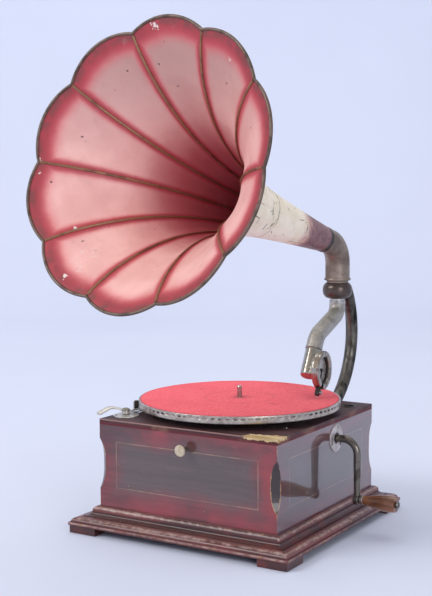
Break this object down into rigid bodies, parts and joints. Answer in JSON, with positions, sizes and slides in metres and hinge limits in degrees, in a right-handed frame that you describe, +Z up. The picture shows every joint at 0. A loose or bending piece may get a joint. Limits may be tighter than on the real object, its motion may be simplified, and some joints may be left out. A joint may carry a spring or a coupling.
{
  "type": "gramophone",
  "caption": "Table gramophone with a flower horn on a swan-neck tone arm, a felt turntable, a winding crank and a spring motor in a moulded wooden case.",
  "frame": {"origin": "middle of the whole outline, on the surface the feet stand on", "axes": "+Z up, +X to the right (the crank's side), -Y to the front"},
  "size_m": [0.4256, 0.594, 0.7134],
  "materials": {
    "mahogany": "dark red gloss polish",
    "dark_board": "dull dark polish, worn",
    "plain_wood": "unfinished",
    "moulding_wood": "worn dark polish",
    "inlay": "faint light line",
    "nickel": "worn bright nickel",
    "pale_nickel": "dulled off-white nickel",
    "bracket_metal": "dark grey-green worn plating",
    "collar_metal": "dark brown casting",
    "arm_metal": "grainy silver grey",
    "elbow_metal": "dull brownish nickel",
    "steel": "machined",
    "brass": "machined",
    "spring_steel": "oiled",
    "lead": "dull grey",
    "felt": "salmon red pile",
    "pad_leather": "dark",
    "handle_wood": "polished walnut",
    "knob_metal": "cream-white worn plating",
    "mica": "pinkish mica",
    "dark_steel": "dark",
    "horn_paint": "gloss pink with deep red borders",
    "horn_bead": "olive brass, tarnished"
  },
  "bodies": {
    "case": {"front_panel": "mahogany", "rear_panel": "mahogany", "left_panel": "mahogany", "right_panel": "mahogany", "motor_board": "dark_board", "bottom_board": "plain_wood", "base_moulding": "moulding_wood", "corner_feet": "moulding_wood", "inlay_lines": "inlay", "glue_blocks": "plain_wood", "crank_escutcheon": "pale_nickel", "case_screws": "steel", "needle_cup": "nickel", "bracket_arm": "bracket_metal", "pivot_collar": "collar_metal", "brake_plate": "nickel", "motor_top_plate": "steel", "motor_bottom_plate": "steel", "motor_pillars": "steel", "motor_bearings": "steel", "ratchet_pawl": "dark_steel"},
    "turntable": {"platter": "nickel", "felt_mat": "felt", "spindle": "steel", "worm_wheel": "brass"},
    "second_shaft": {"second_arbor": "steel", "second_wheel": "brass"},
    "spring_drum": {"spring_barrel": "brass", "barrel_cover": "brass", "great_wheel": "brass", "mainspring": "spring_steel"},
    "winding_arbor": {"barrel_arbor": "steel", "crown_wheel": "brass", "ratchet_wheel": "dark_steel"},
    "crank": {"winding_shaft": "steel", "crank_rod": "dark_steel", "handle_pin": "steel"},
    "handle": {"crank_handle": "handle_wood", "handle_ferrule": "steel"},
    "governor": {"governor_shaft": "steel", "governor_worm": "steel", "governor_weights": "lead", "governor_springs": "spring_steel", "friction_disc": "brass"},
    "regulator": {"regulator_lever": "steel", "friction_pad": "pad_leather"},
    "knob": {"speed_knob": "knob_metal"},
    "brake": {"brake_lever": "nickel", "brake_pad": "pad_leather"},
    "arm": {"tone_arm": "arm_metal"},
    "sound_box": {"crook": "nickel", "sound_box_body": "nickel", "sound_box_ring": "nickel", "diaphragm": "mica", "stylus_bar": "dark_steel", "needle": "steel"},
    "needle_clamp": {"needle_screw": "nickel"},
    "horn": {"horn_elbow": "elbow_metal", "horn_shell": "horn_paint", "horn_beading": "horn_bead"}
  },
  "joints": [
    {"name": "turntable_turn", "type": "hinge", "parent": "case", "child": "turntable", "pos_m": [-0.0329, 0.0575, 0.175], "axis": [0, 0, 1], "continuous": true},
    {"name": "second_turn", "type": "hinge", "parent": "case", "child": "second_shaft", "pos_m": [-0.02218, 0.1012, 0.11], "axis": [0, 0, 1], "continuous": true},
    {"name": "drum_turn", "type": "hinge", "parent": "case", "child": "spring_drum", "pos_m": [0.0321, 0.0838, 0.09], "axis": [0, 0, 1], "continuous": true},
    {"name": "winding_turn", "type": "hinge", "parent": "case", "child": "winding_arbor", "pos_m": [0.0321, 0.0838, 0.122], "axis": [0, 0, 1], "continuous": true},
    {"name": "crank_turn", "type": "hinge", "parent": "case", "child": "crank", "pos_m": [0.1131, 0.0838, 0.135], "axis": [1, 0, 0], "continuous": true},
    {"name": "handle_spin", "type": "hinge", "parent": "crank", "child": "handle", "pos_m": [0.1771, 0.0838, 0.049], "axis": [1, 0, 0], "continuous": true},
    {"name": "governor_turn", "type": "hinge", "parent": "case", "child": "governor", "pos_m": [-0.0329, 0.0305, 0.122], "axis": [1, 0, 0], "continuous": true},
    {"name": "knob_turn", "type": "hinge", "parent": "case", "child": "knob", "pos_m": [-0.0309, -0.094, 0.137], "axis": [0, -1, 0], "range_deg": [-60, 60]},
    {"name": "regulator_tilt", "type": "hinge", "parent": "case", "child": "regulator", "pos_m": [-0.0729, 0.0085, 0.143], "axis": [0, -1, 0], "range_deg": [-6, 6]},
    {"name": "brake_swing", "type": "hinge", "parent": "case", "child": "brake", "pos_m": [-0.1579, -0.0575, 0.17], "axis": [0, 0, 1], "range_deg": [0, 18]},
    {"name": "tone_arm_swing", "type": "hinge", "parent": "case", "child": "arm", "pos_m": [0.0421, 0.2335, 0.33], "axis": [0, 0, 1], "range_deg": [-30, 18]},
    {"name": "sound_box_turn", "type": "hinge", "parent": "arm", "child": "sound_box", "pos_m": [0.05073, 0.13487, 0.253], "axis": [0.0464, -0.5306, -0.8464], "range_deg": [0, 120]},
    {"name": "needle_screw_turn", "type": "hinge", "parent": "sound_box", "child": "needle_clamp", "pos_m": [0.07619, 0.10319, 0.19495], "axis": [0.9962, 0.0872, 0], "range_deg": [-180, 180]},
    {"name": "horn_swing", "type": "hinge", "parent": "case", "child": "horn", "pos_m": [0.0421, 0.2335, 0.345], "axis": [0, 0, 1], "range_deg": [-60, 60]}
  ],
  "couplings": [
    {"joint": "second_turn", "follows": "turntable_turn", "ratio": -0.2},
    {"joint": "drum_turn", "follows": "turntable_turn", "ratio": 0.0375},
    {"joint": "governor_turn", "follows": "turntable_turn", "ratio": -22},
    {"joint": "winding_turn", "follows": "crank_turn", "ratio": 0.33333},
    {"joint": "regulator_tilt", "follows": "knob_turn", "ratio": 0.0577}
  ]
}
